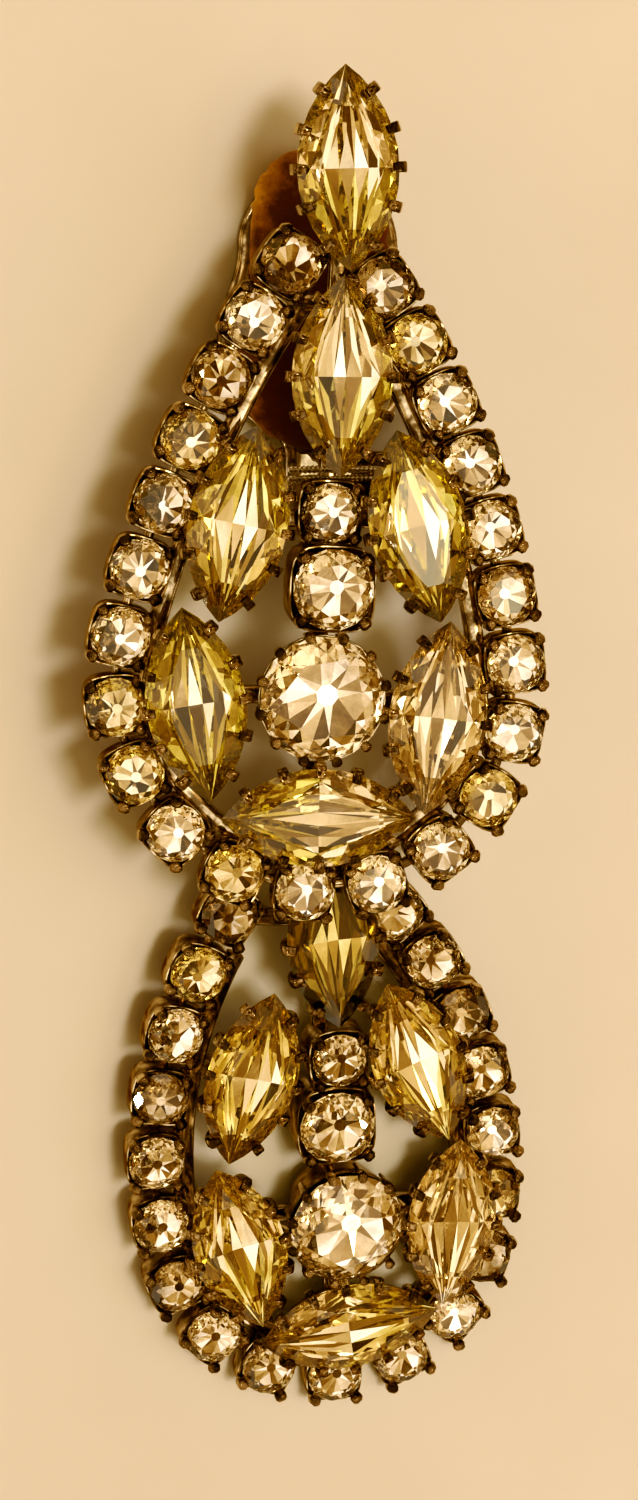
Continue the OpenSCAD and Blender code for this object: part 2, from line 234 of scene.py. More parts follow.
# Flat outline given a depth, its edges cut back by a bevel
def slab(outline, depth, bevel):
    outline = np.asarray(outline, float)
    middle = outline.mean(0)
    away = outline - middle
    shrunk = middle + away * (1 - bevel / np.linalg.norm(away, axis=1))[:, None]
    levels = ((shrunk, 0), (outline, bevel), (outline, depth - bevel), (shrunk, depth))
    return loft(np.stack([level(flat, z) for flat, z in levels]))


def facesOf(patch):
    return [row for faces, _ in patch[1] for row in faces.tolist()]


def addMesh(name, points, rows, materials=()):
    mesh = bpy.data.meshes.new(name)
    mesh.from_pydata(points.tolist(), [], rows)
    for material in materials:
        mesh.materials.append(material)
    return addObject(name, mesh)


# Puts a patch into a mesh object at the origin that rides on a body, in place of a node
def addPiece(name, patch, materials, node, body="earring", sharp=52, flat=False):
    points, groups = patch
    piece = addMesh(name, points * mm, facesOf(patch), materials)
    mesh = piece.data
    numbers = np.concatenate([np.full(len(rows), number) for rows, number in groups])
    mesh.polygons.foreach_set("material_index", numbers.astype(np.int32))
    mesh.polygons.foreach_set("use_smooth", np.full(len(numbers), not flat))
    if not flat:
        mesh.set_sharp_from_angle(angle=math.radians(sharp))
    mesh.update()
    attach(piece, body)
    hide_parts(node)
    return piece


# Place and heading at a length along two arcs: the heading grows by length / radius on each
def alongArcs(arcs, lean, length):
    (l0, t0), (l1, t1) = arcs
    r0, r1 = l0 / math.radians(t0), l1 / math.radians(t1)
    h = math.radians(lean)
    a = h + np.minimum(length, l0) / r0
    b = a + np.maximum(length - l0, 0) / r1
    x = r0 * (np.sin(a) - math.sin(h)) + r1 * (np.sin(b) - np.sin(a))
    y = r0 * (math.cos(h) - np.cos(a)) + r1 * (np.cos(a) - np.cos(b))
    return x, y, b


# Place and heading on a ring at signed lengths from its bottom stone, negative on the left
def onRing(section, length):
    ring = section["ring"]
    away = np.abs(length)
    right = alongArcs(section["rightArcs"], ring["lean"], away)
    left = alongArcs(section["leftArcs"], -ring["lean"], away)
    side = np.where(length < 0, -1, 1)
    x, y, heading = (np.where(length < 0, l, r) for l, r in zip(left, right))
    return ring["x"] + side * x, ring["y"] + y, side * heading


# Signed lengths of the ring's stones: pitch a stone, less a taper that adds up
def ringStops(section):
    ring = section["ring"]
    k = np.arange(-ring["side"], ring["side"] + 1)
    n = np.abs(k)
    return np.sign(k) * (ring["pitch"] * n - ring["taper"] * n * (n - 1) / 2)


navetteShape = {"length": 9.8, "width": 5, "girdle": 3.6}
halfWidth = navetteShape["width"] / 2
lensR = ((navetteShape["length"] / 2) ** 2 + halfWidth ** 2) / (2 * halfWidth)
lensC = lensR - halfWidth


# Outline of a navette moved out by d: two arcs of radius lensR + d that meet in the tips
def lensLoop(d, steps=16):
    r = lensR + d
    a = np.linspace(-1, 1, steps + 1)[:-1] * math.acos(lensC / r)
    right = beside(r * np.cos(a) - lensC, r * np.sin(a))
    return np.vstack([right, -right])


stoneSettings = {
    "round": {  # shares of the radius, but for the count of mains and the band's height
        "mains": 8, "table": 0.64, "crown": 0.20, "star": 0.5, "depth": 0.24, "lower": 0.45, "culet": 0.18,
        "band": 0.03, "shift": 0.10,
    },
    "navette": {
        "perSide": 12, "tableInset": 1.15, "crown": 0.7, "star": 0.6, "depth": 0.62, "band": 0.05,
        "planks": (-0.66, -0.42, -0.15, 0.12, 0.40, 0.66),
        "bow": (1.2, 1.7, 2.2, 1.8, 1.2),
        "push": (0.07, -0.03, 0.10, 0.06, -0.02),
        "chance": (0.09, 0.02, 0.35, 0.03),  # of the middle's x and z, and of the bow's reach and push
        "rim": (0.2, 0.44, 0.71),
        "arch": 1.6,
    },
}
# Corners of the small facets along the girdle: 0 to 6 run along its edge, 7 to 9 along the rim inside it,
# and 10 is the outer middle point
rimCorners = (
    (0, 1, 7), (1, 2, 7), (7, 2, 8), (2, 3, 8), (3, 4, 8), (8, 4, 9), (4, 5, 9), (9, 5, 10), (5, 6, 10),
)


# Where each line, given by its normal and its distance from the middle, crosses the next one
def crossings(normals, reaches):
    pairs = np.stack([normals, np.roll(normals, -1, 0)], 1)
    both = np.stack([reaches, np.roll(reaches, -1)], 1)
    return np.linalg.solve(pairs, both[..., None])[..., 0]


# Crown from the girdle's points (two for each main facet), the outward normals at the mains and the
# table's corners. Each main facet is the plane through its girdle point and its table corner; the star
# corners are where neighbouring planes cross at one height. The girdle's lower points come last.
def cutCrown(girdle, normals, table, crown, star, band):
    mains = len(table)
    reach = (normals * girdle[::2]).sum(1)
    slope = (reach - (normals * table).sum(1)) / crown
    starFlat = crossings(normals, reach - slope * star)
    loops = ((table, band + crown), (starFlat, band + star), (girdle, band), (girdle, 0))
    points = np.vstack([level(flat, z) for flat, z in loops])
    i = np.arange(mains)
    j = (i + 1) % mains
    starAt, topAt, bottomAt = mains + i, 2 * mains, 4 * mains
    even, odd, after = 2 * i, 2 * i + 1, 2 * j
    g = np.arange(2 * mains)
    h = (g + 1) % (2 * mains)
    faces = [
        (i[None], 0),
        (beside(i, starAt, j), 0),
        (beside(i, np.roll(starAt, 1), topAt + even, starAt), 0),
        (beside(starAt, topAt + even, topAt + odd), 0),
        (beside(starAt, topAt + odd, topAt + after), 0),
        (beside(bottomAt + g, bottomAt + h, topAt + h, topAt + g), 1),
    ]
    return points, faces


# Below a round stone's girdle the mains run in to a small flat, which stands off the middle by a shift,
# and the lower corners are where neighbouring mains would cross, drawn in by the lower share
def roundStone(diameter, girdleZ):
    s = stoneSettings["round"]
    r = diameter / 2
    mains = s["mains"]
    a = np.arange(2 * mains) * np.pi / mains
    girdle = r * beside(np.cos(a), np.sin(a))
    normals = girdle[::2] / r
    crown, depth, lower, culet = s["crown"] * r, s["depth"] * r, s["lower"], s["culet"]
    points, faces = cutCrown(girdle, normals, girdle[::2] * s["table"], crown, crown * s["star"], s["band"])
    shift = np.array((s["shift"] * r, 0))
    low = crossings(normals, np.full(mains, r)) * (1 - lower) + lower * shift
    flat = girdle[::2] * culet + shift
    points = np.vstack([points, level(low, -lower * depth), level(flat, (culet - 1) * depth)])
    i = np.arange(mains)
    even, odd, after = 4 * mains + 2 * i, 4 * mains + 2 * i + 1, 4 * mains + 2 * ((i + 1) % mains)
    lowAt, tip = 6 * mains + i, 7 * mains + i
    faces += [
        (beside(tip, lowAt, even, np.roll(lowAt, 1)), 1),
        (beside(tip, np.roll(tip, -1), lowAt), 1),
        (tip[None, ::-1], 1),
        (beside(lowAt, odd, even), 1),
        (beside(lowAt, after, odd), 1),
    ]
    return points + (0, 0, girdleZ), faces


# Rows turned so that they run clockwise seen from above: the sum of x times the next y less y times the
# next x is then negative
def facingDown(points, rows):
    x, y = points[rows, 0], points[rows, 1]
    area = (x * np.roll(y, -1, 1) - y * np.roll(x, -1, 1)).sum(1)
    return np.where(area[:, None] > 0, rows[:, ::-1], rows)


# Boat-shaped underside of a navette: long thin facets run from each tip to points across the middle,
# where short triangles stand between them, and a row of small facets follows the girdle. Middle points
# lie at depth * (1 - |share of the half width| to the power arch), with a little chance in all of them.
def navetteStone(chance):
    s = stoneSettings["navette"]
    n = s["perSide"]
    girdle = np.roll(lensLoop(0, n), -1, 0)  # no main stands at a tip
    main = girdle[::2]
    normals = main + np.where(np.abs(main[:, :1]) > 1e-6, np.sign(main[:, :1]) * (lensC, 0), 0)
    normals /= np.linalg.norm(normals, axis=1)[:, None]
    table = lensLoop(-s["tableInset"], n)[1::2]
    points, faces = cutCrown(girdle, normals, table, s["crown"], s["crown"] * s["star"], s["band"])
    ring, count = len(points) - 2 * n, len(points)
    share = np.array(s["planks"])
    planks = len(share) - 1
    middle = beside(share * halfWidth, 0 * share, -s["depth"] * (1 - np.abs(share) ** s["arch"]))
    chanceX, chanceZ, chanceReach, chancePush = s["chance"]
    middle += chance.normal(0, 1, middle.shape) * (chanceX, 0, chanceZ)
    between = (middle[1:] + middle[:-1]) / 2
    points = np.vstack([points, middle])
    middleAt = count + np.arange(planks + 1)
    for end, number in ((1, 1), (-1, 2)):
        tipAt = ring + (n - 1 if end > 0 else 2 * n - 1)
        reach = (np.array(s["bow"]) + chance.normal(0, chanceReach, planks)) / navetteShape["length"] * 2
        bow = between * (1 - reach)[:, None] + points[tipAt] * reach[:, None]
        bow[:, 2] -= np.array(s["push"]) + chance.normal(0, chancePush, planks)
        bowAt = len(points) + np.arange(planks)
        points = np.vstack([points, bow])
        rims = {}
        for side in (1, -1):
            outer = middleAt[-1 if side > 0 else 0]
            share = np.array(s["rim"])[:, None]
            rims[side] = len(points) + np.arange(len(share))
            points = np.vstack([points, points[tipAt] * (1 - share) + points[outer] * share])
            edge = ring + (tipAt - ring - end * side * np.arange(n // 2 + 1)) % (2 * n)
            strip = np.concatenate([edge, rims[side], [outer]])
            faces.append((facingDown(points, strip[np.array(rimCorners)]), number))
        tips = np.full(planks, tipAt)
        left = beside(tips, middleAt[:-1], bowAt)
        right = beside(tips, bowAt, middleAt[1:])
        ends = np.array([[tipAt, *rims[side], middleAt[k], bowAt[k]] for side, k in ((-1, 0), (1, -1))])
        faces.append((facingDown(points, np.vstack([left[1:], right[:-1]])), number))
        faces.append((facingDown(points, ends), number))
        faces.append((facingDown(points, beside(middleAt[:-1], middleAt[1:], bowAt)), 3))
    return points + (0, 0, navetteShape["girdle"]), faces


squareCup = {"wall": 0.13, "low": 0.13, "dip": 0.16, "corner": 3.7}
# A claw's path in x and z, its half sizes along it, how many steps are bare before the painted shade, and
# its section's power
ballClaw = {
    "path": (
        (0.0, -1.35), (0.06, -0.7), (0.14, -0.1), (0.19, 0.2), (0.19, 0.40), (0.14, 0.60), (0.03, 0.76),
        (-0.1, 0.82),
    ),
    "wide": (0.18, 0.19, 0.23, 0.30, 0.34, 0.34, 0.27, 0.14),
    "thick": (0.11, 0.13, 0.18, 0.26, 0.30, 0.30, 0.24, 0.12),
    "bare": 5,
    "power": 2.7,
}


# Closed wall round a stone's axis over levels of a reach and a height, each one number or one for each side
def cupWall(levels):
    a = around(32)
    loops = [beside(q * np.cos(a), q * np.sin(a), 0 * a + z) for q, z in levels]
    return loft(np.stack(loops), 1)


# Square cup with round corners round a stone's circle: |x| and |y| raised to a high power add up to the
# size's power. The rim dips by a squared cosine between the claws.
def boxCup(r, girdleZ):
    s = squareCup
    a, corner, low = around(32), s["corner"], s["low"]
    square = (r + s["wall"]) / (np.abs(np.cos(a)) ** corner + np.abs(np.sin(a)) ** corner) ** (1 / corner)
    rim = girdleZ - 0.1 - s["dip"] * np.cos(2 * a) ** 2
    levels = (
        (square * 0.94, low), (square, low + 0.06), (square, rim - 0.08), (square - 0.03, rim),
        (square - 0.09, rim), (square - 0.13, rim - 0.08),
        (np.minimum(square - 0.14, r - 0.06), rim - 0.16), (0.3 * r, 0.42 * girdleZ),
    )
    return joined([cupWall(levels), clawsAround(ballClaw, 4, r + 0.06, girdleZ - 0.1)])


# Claw standing at a distance from a stone's axis and bent over its edge, drawn in the x-z plane. It is
# bare metal for a few steps up from its foot, and from there to its tip dark with painted shade.
def claw(settings, distance, height):
    flat = np.asarray(settings["path"], float)
    path = beside(flat[:, 0] + distance, 0 * flat[:, 0], flat[:, 1] + height)
    skin = swept(path, (0, 1, 0), settings["wide"], settings["thick"], 8, settings["power"])
    points, ((quads, _), (foot, _), (tip, _)) = skin
    bare = 8 * settings["bare"]
    return points, [(quads[:bare], 0), (quads[bare:], 3), (foot, 0), (tip, 3)]


def clawsAround(settings, count, distance, height):
    turns = turnsAbout(np.pi / 4 + around(count))
    return copies(claw(settings, distance, height), turns)


rimClaw = {
    "path": (
        (0.0, -1.2), (0.06, -0.5), (0.12, 0.0), (0.15, 0.25), (0.12, 0.48), (0.0, 0.64), (-0.14, 0.71),
        (-0.26, 0.70),
    ),
    "wide": (0.16, 0.18, 0.21, 0.25, 0.28, 0.28, 0.22, 0.10),
    "thick": (0.10, 0.11, 0.14, 0.18, 0.21, 0.20, 0.15, 0.08),
    "bare": 4,
    "power": 2.2,
}


# Cone up to the stone's circle, a rim, and the seat inside it, with its claws around it
def roundCup(diameter, girdleZ, claws):
    r, rim = diameter / 2, girdleZ - 0.1
    levels = (
        (0.76 * r, 0.13), (0.82 * r, 0.18), (0.84 * r, 0.5), (r - 0.1, rim - 0.9), (r + 0.06, rim - 0.12),
        (r + 0.03, rim), (r - 0.02, rim), (r - 0.12, rim - 0.14), (0.3 * r, girdleZ - 0.5 * r),
    )
    return joined([cupWall(levels), clawsAround(rimClaw, claws, r, rim)])


navetteCupLevels = (  # how far out from the navette's outline, and height
    (-1.75, 0.3), (-1.62, 0.34), (-1.45, 1.0), (-1.3, 2.2), (-0.72, 2.86), (-0.26, 3.2), (-0.12, 3.34),
    (-0.08, 3.46), (-0.12, 3.52), (-0.2, 3.5), (-0.35, 3.28), (-1.2, 2.5), (-1.9, 2.1),
)
navetteTab = {  # a claw beside a navette, one every pitch along it
    "path": ((-0.3, 2.6), (0.02, 3), (0.17, 3.4), (0.22, 3.72), (0.13, 3.98), (-0.1, 4.13), (-0.38, 4.24)),
    "wide": (0.21, 0.23, 0.26, 0.27, 0.27, 0.26, 0.21),
    "thick": (0.10, 0.11, 0.13, 0.14, 0.14, 0.13, 0.10),
    "bare": 4,
    "power": 6,
    "pitch": 1.85,
}


# Boat-shaped cup under a navette with five tabs along each side, at equal steps of y on the outline
def navetteCup():
    cup = loft(np.stack([level(lensLoop(d), z) for d, z in navetteCupLevels]), 1)
    tab = claw(navetteTab, lensR, 0)
    a = np.arcsin(np.arange(-2, 3) * navetteTab["pitch"] / lensR)
    right = copies(tab, turnsAbout(a), np.array([[-lensC, 0, 0]]))
    left = copies(right, turnsAbout(np.pi))
    return joined([cup, right, left])


barSettings = {
    "linkWide": 0.25, "linkThick": 0.22, "linkZ": 0.43,
    "stripInset": 1.75, "stripHalf": 0.45, "stripZ": 0.4, "stripThick": 0.4, "braceThick": 0.33,
}


# Straight path of equal steps at one height
def straight(x0, y0, x1, y1, z, steps):
    return beside(np.linspace(x0, x1, steps), np.linspace(y0, y1, steps), np.full(steps, z))


# Short bars from each ring cup to the next, between the middles of the cups
def ringLinks(section):
    x, y, _ = onRing(section, ringStops(section))
    b = barSettings
    bars = []
    for ends in zip(x, y, x[1:], y[1:]):
        path = straight(*ends, b["linkZ"], 3)
        bars.append(swept(path, (0, 0, 1), b["linkThick"], b["linkWide"], 8, 4, number=1))
    return joined(bars)


# Strip inside the ring, an inset in from the stones' centres, and the straight strips across
def backStrips(section):
    b = barSettings
    total = [sum(length for length, _ in section[side]) for side in ("leftArcs", "rightArcs")]
    stops = np.concatenate([np.linspace(-total[0], 0, 31)[:-1], np.linspace(0, total[1], 31)])
    x, y, heading = onRing(section, stops)
    inset = b["stripInset"]
    path = beside(x - inset * np.sin(heading), y + inset * np.cos(heading), 0 * x + b["stripZ"])
    strips = [swept(path, (0, 0, 1), b["stripThick"], b["stripHalf"], 12, 7, number=1)]
    for ends in section["braces"]:
        path = straight(*ends, b["stripZ"], 5)
        strips.append(swept(path, (0, 0, 1), b["braceThick"], b["stripHalf"], 12, 7, number=1))
    return joined(strips)


hangSettings = {"x": -0.11, "y": -0.51, "eyeR": 0.8, "wire": 0.28}


# Torus about the y axis, a circle of wire carried round a circle
def wireEye(z):
    s = hangSettings
    a = around(32)
    path = beside(s["x"] + s["eyeR"] * np.cos(a), 0 * a + s["y"], z + s["eyeR"] * np.sin(a))
    return swept(path, (0, 1, 0), s["wire"], s["wire"], 12, 2, ring=True)


ridgedBars = {
    "x": (-1.75, 3.6), "rows": ((16.32, 9.5), (15.86, 9.42)), "steps": 97,
    "half": 0.17, "ridge": 0.035, "end": 0.06,
}


# Two round bars across the bracket, their thickness rippled by a cosine along their length
def hingeBars():
    s = ridgedBars
    x = np.linspace(*s["x"], s["steps"])
    ripple = s["half"] + s["ridge"] * np.cos(np.pi * np.arange(s["steps"]) / 2)
    ripple[[0, -1]] = s["end"]
    paths = [beside(x, 0 * x + y, 0 * x + z) for y, z in s["rows"]]
    return joined([swept(path, (0, 1, 0), ripple, ripple, 8, 2.4, number=2) for path in paths])


clipSettings = {
    "x": 1.04, "pinY": 15.24, "pinZ": 5.6,
    "earGap": 2.9, "earThick": 0.7, "earR": 1.15, "earTop": 3,
    "plateLong": 3.8, "plateZ": 8.1, "plateThick": 1.15, "bevel": 0.1,
}


# Two ears round the pin, each a half disc with straight sides, under a plate on the section's back
def clipBracket():
    s = clipSettings
    a = np.linspace(np.pi, 2 * np.pi, 15)
    half = beside(s["earR"] * np.cos(a), s["earR"] * np.sin(a))
    ear = np.vstack([half, [[s["earR"], s["earTop"]], [-s["earR"], s["earTop"]]]])
    standing = np.array([[0, 0, 1], [1, 0, 0], [0, 1, 0]])  # outline x to y, outline y to z, depth to x
    parts = []
    ear = slab(ear, s["earThick"], s["bevel"])
    for x in (-s["earGap"] / 2 - s["earThick"], s["earGap"] / 2):
        parts.append(moved(ear, standing, (s["x"] + x, s["pinY"], s["pinZ"])))
    wide, deep = s["earGap"] / 2 + s["earThick"], s["plateLong"] / 2
    plate = slab([[wide, -deep], [wide, deep], [-wide, deep], [-wide, -deep]], s["plateThick"], s["bevel"])
    parts.append(moved(plate, np.eye(3), (s["x"], s["pinY"], s["plateZ"])))
    return joined(parts)


ringStone = {"diameter": 3.02, "girdle": 1.7, "cupR": 1.46}


# All the soldered metal of one section, made flat and then turned and moved to its place
def sectionMetal(section):
    x, y, heading = onRing(section, ringStops(section))
    cup = boxCup(ringStone["cupR"], ringStone["girdle"])
    parts = [copies(cup, turnsAbout(heading), beside(x, y, 0 * x))]
    for x, y, turn, *_ in section["navettes"].values():
        parts.append(moved(navetteCup(), turnsAbout(math.radians(turn))[0], (x, y, 0)))
    for x, y, diameter, girdleZ, claws in section["rounds"].values():
        cup = roundCup(diameter, girdleZ, claws) if claws > 4 else boxCup(diameter / 2, girdleZ)
        parts.append(moved(cup, np.eye(3), (x, y, 0)))
    parts += [ringLinks(section), backStrips(section)]
    return moved(joined(parts), sectionTurn(section), section["at"])


leverSettings = {
    "lobes": ((27.2, 4.2), (22.2, 5.35)),  # y and radius
    "tail": 1.8, "startY": 15, "thick": 0.9, "roundEnd": 0.5,
    "neck": (  # y and z
        (17.2, 0.45), (16.3, 0.46), (15.5, 0.6), (14.95, 1.1), (14.72, 1.8), (14.7, 2.8), (14.75, 4),
        (14.9, 5),
    ),
    "neckHalf": (1.25, 0.4),
    "knuckle": ((0.52, -1.25), (1, -1.25), (1.1, -1.15), (1.1, 1.15), (1, 1.25), (0.52, 1.25)),  # radius, x
}
padSettings = {
    "x": 0.64, "lobes": ((28.5, 3.95), (25.4, 3.65), (21.15, 4.5)), "low": 0.95, "high": 3.86,
    "roundEnd": 0.16, "crown": 2.4,
}


# Half width of merged lobes at each y: the lobes' own half widths added as high powers
def lobeWidth(y, lobes, power, tail=0):
    parts = [np.sqrt(np.clip(r * r - (y - c) ** 2, 0, None)) ** power for c, r in lobes]
    return (sum(parts) + tail ** power) ** (1 / power)


# Steps from low to high that crowd towards an end, or both
def crowded(low, high, steps, both=True):
    t = np.linspace(0, 1, steps)
    t = (1 - np.cos(np.pi * t)) / 2 if both else np.sin(np.pi * t / 2)
    return low + (high - low) * t


thinnest = 0.02  # half size that a swept piece ends in


# Plate of merged lobes with a rounded edge, then the neck bent up to the knuckle round the pin
def clipLever():
    s, c = leverSettings, clipSettings
    (topY, topR), (lowY, _) = s["lobes"]
    end, edge = topY + topR, s["roundEnd"]
    y = crowded(s["startY"], end - 0.001, 60, both=False)
    wide = lobeWidth(y, s["lobes"], 6, s["tail"] * (y < lowY))
    thick = s["thick"] / 2 * np.sqrt(1 - np.clip((y - end + edge) / edge, 0, 1) ** 2)
    path = beside(0 * y + c["x"], y, 0 * y + s["thick"] / 2)
    plate = swept(path, (1, 0, 0), np.maximum(wide, thinnest), np.maximum(thick, thinnest), 32, 5)
    rise = np.array(s["neck"])
    neck = swept(np.column_stack([0 * rise[:, 0] + c["x"], rise]), (1, 0, 0), *s["neckHalf"], 12, 6)
    a = around(28)
    r, x = (column[:, None] for column in np.array(s["knuckle"]).T)
    loops = beside(0 * a + c["x"] + x, c["pinY"] + r * np.cos(a), c["pinZ"] + r * np.sin(a))
    return joined([plate, neck, loft(loops, ring=True)])


# Crowned cushion of merged lobes: full in the middle and rounded off at its ends, where its thickness and
# the way in from full thickness, each to the power crown, add up to 1
def clipPad():
    s = padSettings
    low, high = s["lobes"][-1][0] - s["lobes"][-1][1], s["lobes"][0][0] + s["lobes"][0][1]
    y = crowded(low, high, 56)
    wide = lobeWidth(y, s["lobes"], 6)
    run = np.clip(1 - np.abs(2 * (y - low) / (high - low) - 1), 0, 1)
    full = (1 - (1 - np.clip(run / s["roundEnd"], 0, 1)) ** s["crown"]) ** (1 / s["crown"])
    thick = (s["high"] - s["low"]) / 2
    path = beside(0 * y + s["x"], y, 0 * y + s["low"] + thick)
    return swept(path, (1, 0, 0), np.maximum(wide, 0.03), np.maximum(thick * full, 0.03), 36, 3.2)


puffSettings = {"scale": 100, "voxel": 0.024, "pressure": 4, "frames": 20, "cap": 0.16}


def pointsOf(mesh):
    points = np.empty(len(mesh.vertices) * 3)
    mesh.vertices.foreach_get("co", points)
    return points.reshape(-1, 3)


# Pad swollen by cloth with pressure in it, at a hundred times its size, each point held to a small move
def puffed(patch):
    s = puffSettings
    scale = s["scale"] * mm
    work = addMesh("puff", patch[0] * scale, facesOf(patch))
    remesh = work.modifiers.new("remesh", "REMESH")
    remesh.mode = "VOXEL"
    remesh.voxel_size = s["voxel"]
    shape = bpy.data.meshes.new_from_object(work.evaluated_get(bpy.context.evaluated_depsgraph_get()))
    work.modifiers.clear()
    work.data = shape
    start = end = pointsOf(shape)
    cloth = work.modifiers.new("cloth", "CLOTH")
    cloth.settings.use_pressure = True
    cloth.settings.uniform_pressure_force = s["pressure"]
    cloth.settings.effector_weights.gravity = 0
    cloth.point_cache.frame_end = s["frames"]
    for frameNumber in range(1, s["frames"] + 1):
        bpy.context.scene.frame_set(frameNumber)
    swollen = work.evaluated_get(bpy.context.evaluated_depsgraph_get())
    end = pointsOf(swollen.to_mesh())
    swollen.to_mesh_clear()
    bpy.context.scene.frame_set(1)
    move = end - start
    far = np.linalg.norm(move, axis=1)[:, None]
    points = (start + move * np.minimum(1, s["cap"] * scale / np.maximum(far, 1e-9))) / scale
    rows = np.empty(len(shape.loops), np.int32)
    shape.loops.foreach_get("vertex_index", rows)
    print("pad swollen by up to", round(float(far.max() / scale), 3), "mm, held to", s["cap"])
    bpy.data.objects.remove(work)
    return points, [(rows.reshape(-1, 4), 0)]


padWear = {
    "edge": 0.16, "dent": 0.05, "middleY": 24.6, "squat": 0.55, "rimStart": 2.6, "rimWide": 1.6,
    "bite": 0.5, "biteX": -0.6, "biteY": 28.4, "biteLong": 2.6,
}


# Worn edge: points move in towards the pad's own long axis by sines of their place, more at the rim. The
# left edge is rubbed away by a bell curve of y, and the face is dented by more sines.
def worn(patch):
    s = padWear
    points, groups = patch
    x, y, z = points.T
    away = beside(x - padSettings["x"], (y - s["middleY"]) * s["squat"], 0 * z)
    reach = np.linalg.norm(away, axis=1)
    rim = np.clip((reach - s["rimStart"]) / s["rimWide"], 0, 1)
    chips = np.sin(4.1 * y + 1.3 * z) * np.sin(2.3 * y - 1.7 * x) + 0.6 * np.sin(7.3 * y + 2.9 * x)
    dents = np.sin(2.1 * x + 0.7) * np.sin(1.7 * y) + 0.5 * np.sin(4.7 * x - 3.9 * y)
    inward = -away / np.maximum(reach, 0.1)[:, None] * (rim * s["edge"] * np.clip(chips, 0, 2))[:, None]
    drop = np.where(z > 2, -s["dent"] * (0.5 + 0.5 * dents), 0)
    left = np.clip((s["biteX"] - x) / s["rimWide"], 0, 1)
    rubbed = s["bite"] * left * np.exp(-(((y - s["biteY"]) / s["biteLong"]) ** 2))
    return points + inward + beside(rubbed, 0 * y, drop), groups


# Node whose sockets are given by name or number: linked where the value is another node's socket
def addNode(tree, kind, sockets, **settings):
    node = tree.nodes.new("ShaderNode" + kind)
    for name, value in settings.items():
        setattr(node, name, value)
    setSockets(tree, node, sockets)
    return node


def setSockets(tree, node, sockets):
    for name, value in sockets.items():
        if isinstance(value, bpy.types.NodeSocket):
            tree.links.new(value, node.inputs[name])
        else:
            node.inputs[name].default_value = value


# New material: its tree, its main shader and the object's own coordinates
def newMaterial(name):
    material = bpy.data.materials.new(name)
    material.use_nodes = True
    tree = material.node_tree
    return material, tree, tree.nodes["Principled BSDF"], addNode(tree, "TexCoord", {}).outputs["Object"]


def addNoise(tree, place, scale, detail=3, rough=0.5, warp=0):
    sockets = {"Vector": place, "Scale": scale, "Detail": detail, "Roughness": rough, "Distortion": warp}
    return addNode(tree, "TexNoise", sockets).outputs["Fac"]


def addRamp(tree, value, stops):
    ramp = addNode(tree, "ValToRGB", {"Fac": value})
    points = ramp.color_ramp.elements
    while len(points) < len(stops):
        points.new(0.5)
    for point, (at, colour) in zip(points, stops):
        point.position = at
        point.color = (*colour, 1)
    return ramp.outputs["Color"]


# Range from low to high over the middle of a noise
def addRange(tree, value, low, high):
    sockets = {"Value": value, "From Min": 0.3, "From Max": 0.7, "To Min": low, "To Max": high}
    return addNode(tree, "MapRange", sockets).outputs["Result"]


def addBump(tree, value, shader, strength, distance):
    bump = addNode(tree, "Bump", {"Height": value, "Strength": strength, "Distance": distance * mm})
    tree.links.new(bump.outputs["Normal"], shader.inputs["Normal"])


# For each metal and foil: the noise's scale, its colours, its roughness in light and dark places, its
# bump, the tint of its gloss at the edge, and where the noise turns from dark to light
foil = {"scale": 600, "rough": (0.01, 0.04), "bump": 0.04, "edge": (1, 1, 1), "stops": (0.25, 0.75)}
finishes = {
    "gold": {"scale": 900, "dark": (0.12, 0.077, 0.04), "light": (0.64, 0.51, 0.34),
             "rough": (0.03, 0.10), "bump": 0.08, "edge": (0.7, 0.6, 0.5), "stops": (0.38, 0.6)},
    "tarnish": {"scale": 1400, "dark": (0.11, 0.072, 0.042), "light": (0.62, 0.49, 0.34),
                "rough": (0.05, 0.18), "bump": 0.12, "edge": (0.42, 0.32, 0.20), "stops": (0.40, 0.62)},
    # Painted shade on the claws' tips
    "tipShade": {"scale": 1400, "dark": (0.03, 0.017, 0.008), "light": (0.34, 0.23, 0.13),
               "rough": (0.05, 0.16), "bump": 0.12, "edge": (0.32, 0.24, 0.15), "stops": (0.42, 0.62)},
    "steel": {"scale": 2200, "dark": (0.45, 0.40, 0.34), "light": (0.92, 0.88, 0.82),
              "rough": (0.10, 0.25), "bump": 0.2, "edge": (1, 1, 1), "stops": (0.35, 0.62)},
    # The navettes' foils are lit and shaded tones of one yellow, painted light and shade: glint is a
    # painted highlight, umber a painted shade
    "lemonFoil": {**foil, "dark": (0.50, 0.43, 0.12), "light": (0.82, 0.74, 0.36)},
    "beigeFoil": {**foil, "dark": (0.64, 0.54, 0.36), "light": (0.90, 0.81, 0.66)},
    "amberFoil": {**foil, "dark": (0.50, 0.41, 0.13), "light": (0.84, 0.72, 0.41)},
    "umberFoil": {**foil, "dark": (0.13, 0.09, 0.02), "light": (0.34, 0.25, 0.08)},
    "silverFoil": {**foil, "dark": (0.82, 0.76, 0.64), "light": (0.96, 0.92, 0.84), "rough": (0.01, 0.03),
                   "bump": 0.03},
    "crystalFoil": {**foil, "scale": 700, "dark": (0.62, 0.54, 0.42), "light": (0.94, 0.88, 0.76),
                    "rough": (0.01, 0.03), "stops": (0.3, 0.6)},
    "smokyFoil": {**foil, "scale": 700, "dark": (0.30, 0.22, 0.13), "light": (0.82, 0.72, 0.56),
                  "rough": (0.01, 0.05), "bump": 0.05, "stops": (0.35, 0.62)},
    "oldFoil": {**foil, "scale": 700, "dark": (0.58, 0.50, 0.30), "light": (0.92, 0.83, 0.60),
                "stops": (0.3, 0.65)},
}


